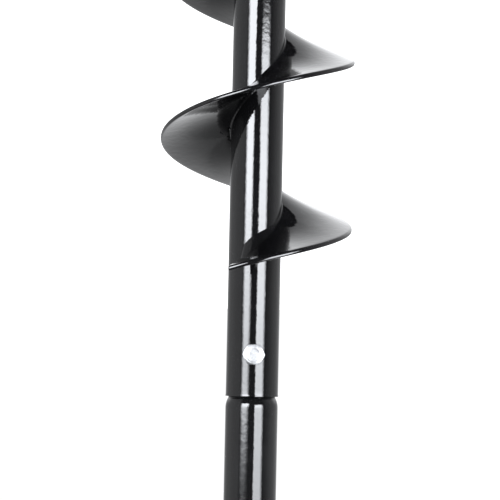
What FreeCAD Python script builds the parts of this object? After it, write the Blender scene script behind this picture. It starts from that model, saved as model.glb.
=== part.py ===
"""Two-piece hand soil auger with a T handle, 150 mm flight.

The auger half is a tube with a dished right-hand flight, a short second flight, two bolt-on
cutting blades and a spade point. The handle half is a tube whose swaged end drops into the
auger tube and is held by one cross bolt. Millimetres; +Z up, the point's tip at the origin,
the tube on the Z axis, the crossbar along X, the cross bolt's head towards -Y.
"""

import FreeCAD, Part
import math
import operator
import os

import Sketcher

SIZES = [
    # alias, value, meaning
    ("tube_od", 40, "outside diameter of the auger tube and the stem"),
    ("tube_wall", 2, "wall of the auger tube and the stem"),
    ("rim_round", 0.4, "rounding of the socket's outer rim"),
    ("pilot_length", 70, "tip of the point to the lower end of the tube"),
    ("head_rise", 31.75, "lower end of the tube to the start of the flight"),
    ("flight_od", 150, "outside diameter of the flight"),
    ("flight_pitch", 130, "rise of the flight in one turn"),
    ("flight_turns", 3, "turns of the main flight"),
    ("lead_turns", 0.42, "turns of the second flight"),
    ("flight_plate", 3.5, "thickness of the flight's plate"),
    ("flight_dish", 12, "rise of the flight from its inner to its outer edge"),
    ("flight_top_angle", -72, "direction of the flight's upper end, degrees from +X"),
    ("flight_weld", 3, "leg of the fillet welds along the flight"),
    ("socket_reach", 108.25, "upper end of the flight to the rim of the socket"),
    ("spigot_length", 68, "length of the stem's swaged end inside the socket"),
    ("spigot_gap", 0.15, "radial clearance of the swaged end in the tube"),
    ("shoulder_gap", 0.2, "rim of the socket to the start of the stem's shoulder"),
    ("shoulder_round", 15.5, "radius of the stem's shoulder"),
    ("spigot_lead", 1.5, "chamfer on the end of the swaged end"),
    ("joint_drop", 32.5, "rim of the socket down to the cross bolt"),
    ("joint_bolt", 10, "diameter of the cross bolt"),
    ("joint_flats", 16, "width across flats of the cross bolt and its nut"),
    ("joint_head", 6.4, "height of the cross bolt's head"),
    ("joint_tail", 3, "cross bolt beyond its nut"),
    ("joint_washer_od", 20, "outside diameter of the cross bolt's washer"),
    ("joint_washer_plate", 2, "thickness of the cross bolt's washer"),
    ("joint_nut_hex", 7, "height of the lock nut's hexagon"),
    ("joint_nut_collar", 3, "height of the lock nut's collar"),
    ("nut_collar_wall", 1, "wall of the lock nut's collar"),
    ("bolt_gap", 0.25, "radial clearance of bolts in their holes"),
    ("stem_reach", 450, "rim of the socket to the crossbar's axis"),
    ("stem_head", 26, "crossbar's axis to the upper end of the stem"),
    ("crossbar_od", 32, "outside diameter of the crossbar"),
    ("crossbar_wall", 2, "wall of the crossbar"),
    ("crossbar_length", 460, "length of the crossbar"),
    ("crossbar_gap", 0.15, "radial clearance of the crossbar in the stem"),
    ("crossbar_weld", 3.5, "leg of the welds round the crossbar"),
    ("grip_length", 125, "crossbar covered by each grip"),
    ("grip_wall", 3.5, "thickness of the grip's rubber"),
    ("grip_end", 4, "thickness of the grip's closed end"),
    ("grip_flange", 4, "height of the grip's flange above its barrel"),
    ("grip_flange_width", 5, "width of the grip's flange"),
    ("grip_rib_pitch", 6, "spacing of the grooves round the grip"),
    ("grip_groove", 1.4, "depth of the grooves round the grip"),
    ("grip_groove_width", 2.6, "width of the grooves round the grip"),
    ("grip_groove_count", 17, "number of grooves round the grip"),
    ("weld_margin", 0.3, "toe of the welds round the crossbar to the stem's side"),
    ("cap_dome", 4.5, "height of the stem cap above the stem"),
    ("cap_brim", 1.2, "height of the stem cap's brim"),
    ("cap_clear", 2, "lower end of the stem cap to the crossbar"),
    ("cap_wall", 2, "wall of the stem cap's skirt"),
    ("cap_gap", 0.1, "radial clearance of the cap in the stem"),
    ("pilot_collar", 6, "thickness of the point's collar"),
    ("pilot_shank", 34, "length of the point's shank inside the tube"),
    ("pilot_width", 38, "width of the point's spade"),
    ("pilot_plate", 10, "thickness of the point's spade"),
    ("pilot_taper", 44, "height of the spade's tapered part"),
    ("pilot_tip", 6, "width of the spade's blunt tip"),
    ("pilot_bevel", 11, "width of the bevels along the spade's edges"),
    ("pilot_land", 4, "thickness left at the spade's edges"),
    ("pin_od", 6, "diameter of the spring pin"),
    ("pin_wall", 1.2, "wall of the spring pin"),
    ("pin_slot", 1.4, "slot along the spring pin"),
    ("pin_rise", 17, "lower end of the tube up to the spring pin"),
    ("blade_rake", 28, "slope of the blades below the horizontal, degrees"),
    ("seat_plate", 5, "thickness of the blade seats"),
    ("seat_width", 29, "width of the blade seats"),
    ("seat_gap", 0.5, "tube to the inner end of a blade seat or blade"),
    ("blade_plate", 5, "thickness of the cutting blades"),
    ("blade_setback", 6, "rear edge of a seat to the rear edge of its blade"),
    ("blade_width", 36, "width of the cutting blades"),
    ("blade_overcut", 2, "outer end of a blade beyond its seat's"),
    ("blade_bevel", 4.3, "bevel along the blade's cutting edge"),
    ("blade_bolt", 8, "diameter of the blade bolts"),
    ("blade_bolt_length", 20, "length of the blade bolts"),
    ("blade_flats", 13, "width across flats of the blade bolts and nuts"),
    ("blade_head", 5.3, "height of the blade bolts' heads"),
    ("blade_washer_od", 16, "outside diameter of the blade washers"),
    ("blade_washer_plate", 1.6, "thickness of the blade washers"),
    ("blade_nut", 6.5, "height of the blade nuts"),
    ("blade_bolt_inset", 15, "inner end of a blade to its first bolt"),
    ("blade_bolt_space", 24, "spacing of the two bolts in a blade"),
    ("blade_bolt_back", 17, "rear edge of a seat to the bolts' line"),
]

OUT = "parts"
SAME = 1e-6
LOOK = 1e-3

# Shares of the width across flats, and the slope in degrees, that hexagon hardware has.
CROWN_SHARE = 0.96
CROWN_SLOPE = 30
COLLAR_SHARE = 0.94
# Share of the lock nut's collar that the nylon ring fills.
NYLON_SHARE = 0.85
# Chamfer on a bolt's tail, as a share of its diameter.
TAIL_SHARE = 0.1
# Crown of the butt welds, as a share of the seat's thickness.
BUTT_SHARE = 0.2


class Size:
    """A number that also carries the sheet expression it comes from."""

    def __init__(self, value, text):
        self.value = float(value)
        self.text = text

    def __add__(self, other):
        return combine(operator.add, "+", self, other)

    def __radd__(self, other):
        return combine(operator.add, "+", other, self)

    def __sub__(self, other):
        return combine(operator.sub, "-", self, other)

    def __rsub__(self, other):
        return combine(operator.sub, "-", other, self)

    def __mul__(self, other):
        return combine(operator.mul, "*", self, other)

    def __rmul__(self, other):
        return combine(operator.mul, "*", other, self)

    def __truediv__(self, other):
        return combine(operator.truediv, "/", self, other)

    def __neg__(self):
        return combine(operator.mul, "*", -1, self)


def size(number):
    """Wraps a plain number, and leaves a Size as it is."""
    return number if isinstance(number, Size) else Size(number, "(%r)" % float(number))


def combine(work, sign, left, right):
    left, right = size(left), size(right)
    return Size(work(left.value, right.value), "(%s %s %s)" % (left.text, sign, right.text))


def least(left, right):
    left, right = size(left), size(right)
    return Size(min(left.value, right.value), "min(%s; %s)" % (left.text, right.text))


def root(number):
    return Size(math.sqrt(number.value), "sqrt(%s)" % number.text)


def sine(angle):
    return Size(math.sin(math.radians(angle.value)), "sin(%s * 1 deg)" % angle.text)


def cosine(angle):
    return Size(math.cos(math.radians(angle.value)), "cos(%s * 1 deg)" % angle.text)


def bind(item, name, number):
    """Ties a property of a feature to the sheet."""
    item.setExpression(name, size(number).text)


# ---------------------------------------------------------------- document

doc = FreeCAD.newDocument("soil_auger")
sheet = doc.addObject("Spreadsheet::Sheet", "Sizes")
nodes = []


def fill_sheet():
    for row, (alias, value, meaning) in enumerate(SIZES, 1):
        sheet.set("A%d" % row, alias)
        sheet.set("B%d" % row, str(value))
        sheet.setAlias("B%d" % row, alias)
        sheet.set("C%d" % row, meaning)
    doc.recompute()


def cell(alias):
    return Size(sheet.get(alias), "Sizes." + alias)


def body(label, node=True):
    made = doc.addObject("PartDesign::Body", label)
    made.Label = label
    if node:
        nodes.append(made)
    return made


def place(item, base, rotation=None):
    """Puts a sub-part at a point given by three sizes, turned by a rotation."""
    x, y, z = (size(number) for number in base)
    spot = FreeCAD.Vector(x.value, y.value, z.value)
    item.Placement = FreeCAD.Placement(spot, rotation or FreeCAD.Rotation())
    for axis, number in (("x", x), ("y", y), ("z", z)):
        item.setExpression("Placement.Base." + axis, number.text)


def turn(axis, degrees):
    return FreeCAD.Rotation(FreeCAD.Vector(*axis), degrees)


# ---------------------------------------------------------------- sketches


def sketch(owner, name, plane):
    """A new sketch on one of the body's own origin planes."""
    made = owner.newObject("Sketcher::SketchObject", name)
    origin = [item for item in owner.Origin.OriginFeatures if item.Role == plane]
    made.AttachmentSupport = (origin[0], [""])
    made.MapMode = "FlatFace"
    return made


def hold(drawing, kind, index, point, number):
    """Sets one coordinate of a point of the sketch from the sheet."""
    number = size(number)
    rule = Sketcher.Constraint(kind, -1, 1, index, point, number.value)
    row = drawing.addConstraint(rule)
    drawing.setExpression("Constraints[%d]" % row, number.text)


def outline(drawing, corners, free=(), arcs=None):
    """Closed outline through corners. free lists corners whose height an arc settles;
    arcs gives, for the corner it leaves, the centre of a counter-clockwise arc."""
    arcs = arcs or {}
    first = drawing.GeometryCount
    count = len(corners)
    spots = [FreeCAD.Vector(size(x).value, size(y).value, 0) for x, y in corners]
    for n in range(count):
        start, end = spots[n], spots[(n + 1) % count]
        if n in arcs:
            centre = FreeCAD.Vector(size(arcs[n][0]).value, size(arcs[n][1]).value, 0)
            angles = [math.atan2(spot.y - centre.y, spot.x - centre.x) for spot in (start, end)]
            ring = Part.Circle(centre, FreeCAD.Vector(0, 0, 1), (end - centre).Length)
            drawing.addGeometry(Part.ArcOfCircle(ring, *angles), False)
        else:
            drawing.addGeometry(Part.LineSegment(start, end), False)
    for n in range(count):
        after = first + (n + 1) % count
        drawing.addConstraint(Sketcher.Constraint("Coincident", first + n, 2, after, 1))
    for n, (x, y) in enumerate(corners):
        hold(drawing, "DistanceX", first + n, 1, x)
        if n not in free:
            hold(drawing, "DistanceY", first + n, 1, y)
    for n, centre in arcs.items():
        hold(drawing, "DistanceX", first + n, 3, centre[0])
        hold(drawing, "DistanceY", first + n, 3, centre[1])


def circle(drawing, radius, x=0, y=0):
    centre = FreeCAD.Vector(size(x).value, size(y).value, 0)
    ring = Part.Circle(centre, FreeCAD.Vector(0, 0, 1), radius.value)
    index = drawing.addGeometry(ring, False)
    row = drawing.addConstraint(Sketcher.Constraint("Radius", index, radius.value))
    drawing.setExpression("Constraints[%d]" % row, radius.text)
    hold(drawing, "DistanceX", index, 3, x)
    hold(drawing, "DistanceY", index, 3, y)


def hexagon(drawing, flats):
    """Hexagon with two corners on the sketch's X axis."""
    reach = flats / math.sqrt(3)
    corners = []
    for n in range(6):
        angle = math.radians(60 * n)
        corners.append((reach * round(math.cos(angle), 12), reach * round(math.sin(angle), 12)))
    outline(drawing, corners)


# ---------------------------------------------------------------- features


def revolve(owner, drawing, name, axis="V_Axis", kind="PartDesign::Revolution"):
    made = owner.newObject(kind, name)
    made.Profile = drawing
    made.ReferenceAxis = (drawing, [axis])
    made.Angle = 360
    return made


def pad(owner, drawing, name, length, side="One side", back=False):
    made = owner.newObject("PartDesign::Pad", name)
    made.Profile = drawing
    bind(made, "Length", length)
    made.SideType = side
    made.Reversed = back
    return made


def pocket(owner, drawing, name, side="Symmetric"):
    """Cuts right through the body, and checks that it took something away."""
    doc.recompute()
    before = owner.Shape.Volume
    made = owner.newObject("PartDesign::Pocket", name)
    made.Profile = drawing
    made.SideType = side
    made.Type = "ThroughAll"
    doc.recompute()
    if owner.Shape.Volume > before - SAME:
        raise RuntimeError("%s cuts nothing" % name)
    return made


def groove(owner, drawing, name, axis="V_Axis"):
    doc.recompute()
    before = owner.Shape.Volume
    made = revolve(owner, drawing, name, axis, "PartDesign::Groove")
    doc.recompute()
    if owner.Shape.Volume > before - SAME:
        raise RuntimeError("%s cuts nothing" % name)
    return made


def sweep(owner, drawing, name, pitch, rise):
    """Winds a section round the Z axis, right-handed and upwards."""
    made = owner.newObject("PartDesign::AdditiveHelix", name)
    made.Profile = drawing
    made.ReferenceAxis = (drawing, ["V_Axis"])
    made.Mode = 0
    bind(made, "Pitch", pitch)
    bind(made, "Height", rise)
    return made


def edges(owner, test):
    """Names of the body's edges whose middle point passes the test."""
    doc.recompute()
    found = []
    for n, edge in enumerate(owner.Shape.Edges, 1):
        middle = edge.valueAt((edge.FirstParameter + edge.LastParameter) / 2)
        local = owner.Placement.inverse().multVec(middle)
        if test(local, edge):
            found.append("Edge%d" % n)
    if not found:
        raise RuntimeError("%s has no such edge" % owner.Label)
    return found


def soften(owner, name, test, amount, kind="PartDesign::Chamfer"):
    """Chamfer or fillet on the edges that pass the test."""
    named, base = edges(owner, test), owner.Tip
    made = owner.newObject(kind, name)
    made.Base = (base, named)
    bind(made, "Size" if kind.endswith("Chamfer") else "Radius", amount)
    doc.recompute()
    return made


def copies(label, template, spots):
    """One node of identical pieces: links to a template body, each with its placement."""
    links = []
    for n, spot in enumerate(spots, 1):
        link = doc.addObject("App::Link", "%s_%d" % (label, n))
        link.LinkedObject = template
        link.Placement = spot
        links.append(link)
    group = doc.addObject("Part::Compound", label)
    group.Label = label
    group.Links = links
    nodes.append(group)
    return group


# ---------------------------------------------------------------- shared places


def shared_sizes():
    """Sizes that more than one sub-part is built from."""
    global tube_r, bore_r, rim, joint_z, flight_start, flight_r, top_line, crossbar_z
    tube_r = cell("tube_od") / 2
    bore_r = tube_r - cell("tube_wall")
    flight_r = cell("flight_od") / 2
    flight_start = cell("pilot_length") + cell("head_rise")
    flight_rise = cell("flight_pitch") * cell("flight_turns")
    rim = flight_start + flight_rise + cell("socket_reach")
    joint_z = rim - cell("joint_drop")
    crossbar_z = rim + cell("stem_reach")
    top_line = plate_height(flight_r) / 2 + cell("flight_dish") - plate_height(tube_r) / 2
    top_line = top_line / (flight_r - tube_r)


def plate_height(radius):
    """Upright thickness of the sloping plate at a radius."""
    climb = cell("flight_pitch") / (2 * math.pi) / radius
    lean = cell("flight_dish") / (flight_r - tube_r)
    return cell("flight_plate") * root(1 + climb * climb + lean * lean)


def flight_turn(half=0):
    """Direction of a flight's lower end: the main one, or the second half a turn round."""
    turns = cell("flight_turns").value
    return cell("flight_top_angle").value - 360 * turns + 180 * half


# ---------------------------------------------------------------- auger half


def auger_tube():
    tube = body("auger_tube")
    wall = sketch(tube, "tube_wall_section", "XZ_Plane")
    low, high = cell("pilot_length"), rim
    outline(wall, [(bore_r, low), (tube_r, low), (tube_r, high), (bore_r, high)])
    revolve(tube, wall, "tube_barrel")
    joint = sketch(tube, "joint_hole", "XZ_Plane")
    circle(joint, cell("joint_bolt") / 2 + cell("bolt_gap"), 0, joint_z)
    pocket(tube, joint, "joint_drilling")
    pin = sketch(tube, "pin_hole", "YZ_Plane")
    circle(pin, cell("pin_od") / 2, 0, low + cell("pin_rise"))
    pocket(tube, pin, "pin_drilling")

    def outer_rim(spot, edge):
        return abs(spot.z - high.value) < LOOK and edge.BoundBox.XMax > tube_r.value - LOOK

    soften(tube, "rim_rounding", outer_rim, cell("rim_round"), "PartDesign::Fillet")


def flight(label, half, turns):
    """Dished helical plate from the tube out to the flight's radius."""
    plate = body(label)
    section = sketch(plate, label + "_section", "XZ_Plane")
    inner, outer = plate_height(tube_r) / 2, plate_height(flight_r) / 2
    dish = cell("flight_dish")
    corners = [(tube_r, -inner), (flight_r, dish - outer), (flight_r, dish + outer), (tube_r, inner)]
    outline(section, corners)
    sweep(plate, section, label + "_sweep", cell("flight_pitch"), cell("flight_pitch") * turns)
    place(plate, (0, 0, flight_start), turn((0, 0, 1), flight_turn(half)))


def flight_weld(label, half, turns, side):
    """Fillet weld in the corner of tube and flight, above (side 1) or below (side -1)."""
    weld = body(label)
    section = sketch(weld, label + "_section", "XZ_Plane")
    leg = cell("flight_weld")
    climb = cell("flight_pitch") / (2 * math.pi) / tube_r
    start = side * plate_height(tube_r) / 2
    lean = top_line if side > 0 else 2 * cell("flight_dish") / (flight_r - tube_r) - top_line
    corners = [
        (tube_r, start),
        (tube_r + leg, start + lean * leg),
        (tube_r, start + side * leg * root(1 + climb * climb)),
    ]
    outline(section, corners if side > 0 else corners[::-1])
    sweep(weld, section, label + "_sweep", cell("flight_pitch"), cell("flight_pitch") * turns)
    place(weld, (0, 0, flight_start), turn((0, 0, 1), flight_turn(half)))


def flights():
    main, lead = cell("flight_turns"), cell("lead_turns")
    flight("main_flight", 0, main)
    flight("lead_flight", 1, lead)
    flight_weld("main_flight_weld_upper", 0, main, 1)
    flight_weld("main_flight_weld_lower", 0, main, -1)
    flight_weld("lead_flight_weld_upper", 1, lead, 1)
    flight_weld("lead_flight_weld_lower", 1, lead, -1)


def head_frame(half):
    """Placement of a blade seat: X forwards and down the rake, Y outwards, Z off the plate.

    The plane holds the top edge of the flight's lower end.
    """
    lean = math.atan(top_line.value)
    rake = math.radians(cell("blade_rake").value)
    outward = FreeCAD.Vector(math.cos(lean), 0, math.sin(lean))
    upward = FreeCAD.Vector(-math.sin(lean), 0, math.cos(lean))
    forward = FreeCAD.Vector(0, -1, 0)
    down_rake = forward * math.cos(rake) - upward * math.sin(rake)
    off_plate = upward * math.cos(rake) + forward * math.sin(rake)
    height = flight_start + plate_height(tube_r) / 2 - top_line * tube_r
    tilt = FreeCAD.Rotation(down_rake, outward, off_plate, "XYZ")
    round_tube = turn((0, 0, 1), flight_turn(half))
    return FreeCAD.Placement(FreeCAD.Vector(0, 0, height.value), round_tube.multiply(tilt))


def reach_at(forward, radius):
    """Distance out along the seat where a point that far forwards meets a radius."""
    ahead = forward * cosine(cell("blade_rake"))
    return root(radius * radius - ahead * ahead) * root(1 + top_line * top_line)


def seat_start():
    """Rear edge of the seats, where their underside meets the end of the flight."""
    rake = cell("blade_rake")
    return cell("seat_plate") * sine(rake) / cosine(rake)


def seat_bolts():
    """Places of the two bolts of a blade in its frame."""
    across = seat_start() + cell("blade_bolt_back")
    first = inner_end() + cell("blade_bolt_inset")
    return [(across, first), (across, first + cell("blade_bolt_space"))]


def inner_end():
    return (tube_r + cell("seat_gap")) * root(1 + top_line * top_line)


def seat_outline(drawing, rear, front, radius):
    inner = inner_end()
    corners = [(rear, inner), (front, inner), (front, reach_at(front, radius))]
    outline(drawing, corners + [(rear, reach_at(rear, radius))])


def blade_seat(label, half):
    seat = body(label)
    drawing = sketch(seat, label + "_outline", "XY_Plane")
    seat_outline(drawing, seat_start(), seat_start() + cell("seat_width"), flight_r)
    pad(seat, drawing, label + "_plate", cell("seat_plate"), back=True)
    drill(seat, label)
    seat.Placement = head_frame(half)


def drill(plate, label):
    """Two bolt holes through a seat or blade."""
    holes = sketch(plate, label + "_holes", "XY_Plane")
    for x, y in seat_bolts():
        circle(holes, cell("blade_bolt") / 2 + cell("bolt_gap"), x, y)
    pocket(plate, holes, label + "_drilling")


def blade(label, half):
    """Blade under its seat, bevelled along its front edge on the upper face."""
    knife = body(label)
    drawing = sketch(knife, label + "_outline", "XY_Plane")
    bind(drawing, "AttachmentOffset.Base.z", -cell("seat_plate"))
    rear = seat_start() + cell("blade_setback")
    front = rear + cell("blade_width")
    seat_outline(drawing, rear, front, flight_r + cell("blade_overcut"))
    pad(knife, drawing, label + "_plate", cell("blade_plate"), back=True)
    top = -cell("seat_plate").value

    def front_edge(spot, edge):
        return abs(spot.x - front.value) < LOOK and abs(spot.z - top) < LOOK

    soften(knife, label + "_bevel", front_edge, cell("blade_bevel"))
    drill(knife, label)
    knife.Placement = head_frame(half)


def seat_weld_template():
    """Butt weld that fills the notch between a flight's end and its seat."""
    weld = body("seat_weld_piece", node=False)
    drawing = sketch(weld, "seat_weld_section", "XZ_Plane")
    bind(drawing, "AttachmentOffset.Base.z", -inner_end())
    rear = seat_start()
    crown = cell("seat_plate") * BUTT_SHARE
    corners = [(rear, -cell("seat_plate")), (rear, 0), (rear / 2, crown), (0, 0)]
    outline(drawing, corners)
    length = reach_at(seat_start(), flight_r) - inner_end()
    pad(weld, drawing, "seat_weld_run", length, back=True)
    return weld


def hex_bolt(label, diameter, flats, head, length, node):
    """Hexagon bolt along +Z with the underside of its head at the origin."""
    bolt = body(label, node)
    shape = sketch(bolt, label + "_hexagon", "XY_Plane")
    hexagon(shape, flats)
    pad(bolt, shape, label + "_head", head, back=True)
    crown(bolt, label, flats, -head, -1)
    ring = sketch(bolt, label + "_ring", "XY_Plane")
    circle(ring, diameter / 2)
    pad(bolt, ring, label + "_shank", length)

    def tail(spot, edge):
        return abs(spot.z - length.value) < LOOK

    soften(bolt, label + "_tail", tail, diameter * TAIL_SHARE)
    return bolt


def crown(owner, label, flats, height, side):
    """Turns the corners off a hexagon's face at a height, facing up (1) or down (-1)."""
    drawing = sketch(owner, label + "_crown_section", "XZ_Plane")
    inside = flats / 2 * CROWN_SHARE
    outside = flats / math.sqrt(3) + 1
    drop = (outside - inside) * math.tan(math.radians(CROWN_SLOPE))
    corners = [(inside, height), (outside, height), (outside, height - side * drop)]
    outline(drawing, corners)
    groove(owner, drawing, label + "_crown")


def washer(label, bolt, outside, plate, node):
    """Flat washer on the XY plane, on +Z's side."""
    ring = body(label, node)
    drawing = sketch(ring, label + "_section", "XZ_Plane")
    hole = bolt / 2 + cell("bolt_gap")
    outline(drawing, [(hole, 0), (outside / 2, 0), (outside / 2, plate), (hole, plate)])
    revolve(ring, drawing, label + "_ring")
    return ring


def hex_nut(label, bolt, flats, height, node):
    """Hexagon nut standing on the XY plane."""
    nut = body(label, node)
    shape = sketch(nut, label + "_hexagon", "XY_Plane")
    hexagon(shape, flats)
    circle(shape, bolt / 2)
    pad(nut, shape, label + "_block", height)
    crown(nut, label, flats, height, 1)
    return nut


def blade_sets():
    """Seats, blades, their butt welds, bolts, washers and nuts."""
    for half, name in ((0, "main"), (1, "lead")):
        blade_seat("blade_seat_" + name, half)
        blade("cutting_blade_" + name, half)
    frames = [head_frame(half) for half in (0, 1)]
    copies("seat_welds", seat_weld_template(), frames)
    diameter, flats = cell("blade_bolt"), cell("blade_flats")
    washer_plate = cell("blade_washer_plate")
    bolt = hex_bolt(
        "blade_bolt_piece", diameter, flats, cell("blade_head"), cell("blade_bolt_length"), False
    )
    ring = washer(
        "blade_washer_piece", diameter, cell("blade_washer_od"), washer_plate, False
    )
    nut = hex_nut("blade_nut_piece", diameter, flats, cell("blade_nut"), False)
    underside = -cell("seat_plate") - cell("blade_plate")
    for label, piece, height in (
        ("blade_bolts", bolt, underside),
        ("blade_washers", ring, size(0)),
        ("blade_nuts", nut, washer_plate),
    ):
        spots = []
        for frame in frames:
            for x, y in seat_bolts():
                offset = FreeCAD.Vector(x.value, y.value, height.value)
                spots.append(frame.multiply(FreeCAD.Placement(offset, FreeCAD.Rotation())))
        copies(label, piece, spots)


def pilot_point():
    """Spade with bevelled edges, collar against the tube's end, and shank inside it."""
    pilot = body("pilot_point")
    low = cell("pilot_length") - cell("pilot_collar")
    high = cell("pilot_length")
    shank_r = bore_r - cell("spigot_gap")
    top = high + cell("pilot_shank")
    turned = sketch(pilot, "pilot_turning", "XZ_Plane")
    corners = [(0, low), (tube_r, low), (tube_r, high), (shank_r, high), (shank_r, top), (0, top)]
    outline(turned, corners)
    revolve(pilot, turned, "pilot_shank")
    spade = sketch(pilot, "pilot_spade_outline", "XZ_Plane")
    half, tip, taper = cell("pilot_width") / 2, cell("pilot_tip") / 2, cell("pilot_taper")
    corners = [(-tip, 0), (tip, 0), (half, taper), (half, low), (-half, low), (-half, taper)]
    outline(spade, corners)
    pad(pilot, spade, "pilot_spade", cell("pilot_plate"), "Symmetric")
    for side in (1, -1):
        spade_bevel(pilot, side)
    hole = sketch(pilot, "pilot_pin_hole", "YZ_Plane")
    circle(hole, cell("pin_od") / 2, 0, high + cell("pin_rise"))
    pocket(pilot, hole, "pilot_pin_drilling")


def spade_bevel(pilot, side):
    """Grinds the trailing face along one slanting edge of the spade, down to a thin land."""
    name = "pilot_bevel_%s" % ("right" if side > 0 else "left")
    tip = cell("pilot_tip") / 2
    flare = cell("pilot_width") / 2 - tip
    lean = math.degrees(math.atan2(flare.value, cell("pilot_taper").value))
    corner = FreeCAD.Placement(FreeCAD.Vector(tip.value, 0, 0), turn((0, 1, 0), lean))
    facing = FreeCAD.Placement(FreeCAD.Vector(), turn((0, 0, 1), 90 - 90 * side))
    drawing = sketch(pilot, name, "XY_Plane")
    drawing.AttachmentOffset = facing.multiply(corner)
    face = cell("pilot_plate") / 2
    clear = cell("pilot_plate")
    outline(
        drawing,
        [(-cell("pilot_bevel"), face), (0, cell("pilot_land") - face), (clear, -face), (clear, face)],
    )
    pocket(pilot, drawing, name + "_grinding")


def pilot_pin():
    """Slotted spring pin, flush with the tube on both sides."""
    pin = body("pilot_pin")
    drawing = sketch(pin, "pin_section", "YZ_Plane")
    outer = cell("pin_od") / 2
    circle(drawing, outer)
    circle(drawing, outer - cell("pin_wall"))
    pad(pin, drawing, "pin_barrel", cell("tube_od") - 1, "Symmetric")
    slot = sketch(pin, "pin_slot_outline", "XZ_Plane")
    reach, half = tube_r + 1, cell("pin_slot") / 2
    outline(slot, [(-reach, -half), (reach, -half), (reach, half), (-reach, half)])
    pocket(pin, slot, "pin_slotting", "One side")
    place(pin, (0, 0, cell("pilot_length") + cell("pin_rise")))


# ---------------------------------------------------------------- joint


def joint_fasteners():
    """Cross bolt, washer, lock nut and its nylon ring, along +Y."""
    along_y = turn((1, 0, 0), -90)
    diameter, flats = cell("joint_bolt"), cell("joint_flats")
    plate = cell("joint_washer_plate")
    hex_part, collar = cell("joint_nut_hex"), cell("joint_nut_collar")
    length = cell("tube_od") + plate + hex_part + collar + cell("joint_tail")
    bolt = hex_bolt("joint_bolt", diameter, flats, cell("joint_head"), length, True)
    place(bolt, (0, -tube_r, joint_z), along_y)
    ring = washer("joint_washer", diameter, cell("joint_washer_od"), plate, True)
    place(ring, (0, tube_r, joint_z), along_y)
    nut = hex_nut("joint_nut", diameter, flats, hex_part, True)
    seat = sketch(nut, "nut_collar_section", "XZ_Plane")
    outer = flats / 2 * COLLAR_SHARE
    inner = outer - cell("nut_collar_wall")
    top = hex_part + collar
    outline(seat, [(inner, hex_part), (outer, hex_part), (outer, top), (inner, top)])
    revolve(nut, seat, "nut_collar")
    place(nut, (0, tube_r + plate, joint_z), along_y)
    nylon = body("joint_nut_ring")
    section = sketch(nylon, "nylon_section", "XZ_Plane")
    bolt_r = diameter / 2
    full = collar * NYLON_SHARE
    outline(section, [(bolt_r, 0), (inner, 0), (inner, full), (bolt_r, full)])
    revolve(nylon, section, "nylon_ring")
    place(nylon, (0, tube_r + plate + hex_part, joint_z), along_y)


# ---------------------------------------------------------------- handle half


def handle_stem():
    """Tube with its lower end swaged down to fit the socket, and a hole for the crossbar."""
    stem = body("handle_stem")
    spigot_r = bore_r - cell("spigot_gap")
    spigot_bore = spigot_r - cell("tube_wall")
    low, high = rim - cell("spigot_length"), crossbar_z + cell("stem_head")
    lead = cell("spigot_lead")
    bend = cell("shoulder_round")
    drop = root(bend * bend - (bend - tube_r + spigot_r) * (bend - tube_r + spigot_r))
    start = rim + cell("shoulder_gap")
    full = start + drop
    wall = sketch(stem, "stem_section", "XZ_Plane")
    corners = [
        (spigot_bore, low),
        (spigot_r - lead / 2, low),
        (spigot_r, low + lead),
        (spigot_r, start),
        (tube_r, full),
        (tube_r, high),
        (bore_r, high),
        (bore_r, full),
        (spigot_bore, start),
    ]
    outline(wall, corners, free=[3], arcs={3: (tube_r - bend, full)})
    revolve(stem, wall, "stem_barrel")
    joint = sketch(stem, "stem_joint_hole", "XZ_Plane")
    circle(joint, cell("joint_bolt") / 2 + cell("bolt_gap"), 0, joint_z)
    pocket(stem, joint, "stem_joint_drilling")
    cross = sketch(stem, "stem_cross_hole", "YZ_Plane")
    circle(cross, cell("crossbar_od") / 2 + cell("crossbar_gap"), 0, crossbar_z)
    pocket(stem, cross, "stem_cross_drilling")


def crossbar():
    bar = body("crossbar")
    drawing = sketch(bar, "crossbar_rings", "YZ_Plane")
    outer = cell("crossbar_od") / 2
    circle(drawing, outer)
    circle(drawing, outer - cell("crossbar_wall"))
    pad(bar, drawing, "crossbar_barrel", cell("crossbar_length"), "Symmetric")
    place(bar, (0, 0, crossbar_z))


def rod(name, radius, length, along_x=False):
    """Cylinder centred on the crossbar's axis, upright or lying along X."""
    made = doc.addObject("Part::Cylinder", name)
    bind(made, "Radius", radius)
    bind(made, "Height", length)
    if along_x:
        place(made, (-length / 2, 0, crossbar_z), turn((0, 1, 0), 90))
    else:
        place(made, (0, 0, crossbar_z - length / 2))
    return made


def cut(name, base, tool):
    made = doc.addObject("Part::Cut", name)
    made.Base = base
    made.Tool = tool
    return made


def crossbar_welds():
    """Weld metal in the corner round the crossbar, on both sides of the stem."""
    leg = cell("crossbar_weld")
    bar_r = cell("crossbar_od") / 2
    long = cell("tube_od") * 3
    both = doc.addObject("Part::Common", "weld_blank")
    both.Base = rod("weld_round_stem", tube_r + leg, long)
    both.Tool = rod("weld_round_bar", least(bar_r + leg, tube_r - cell("weld_margin")), long, True)
    outside = cut("weld_off_stem", both, rod("stem_blank", tube_r, long))
    welds = cut("crossbar_welds", outside, rod("bar_blank", bar_r, long, True))
    welds.Label = "crossbar_welds"
    nodes.append(welds)


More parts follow.
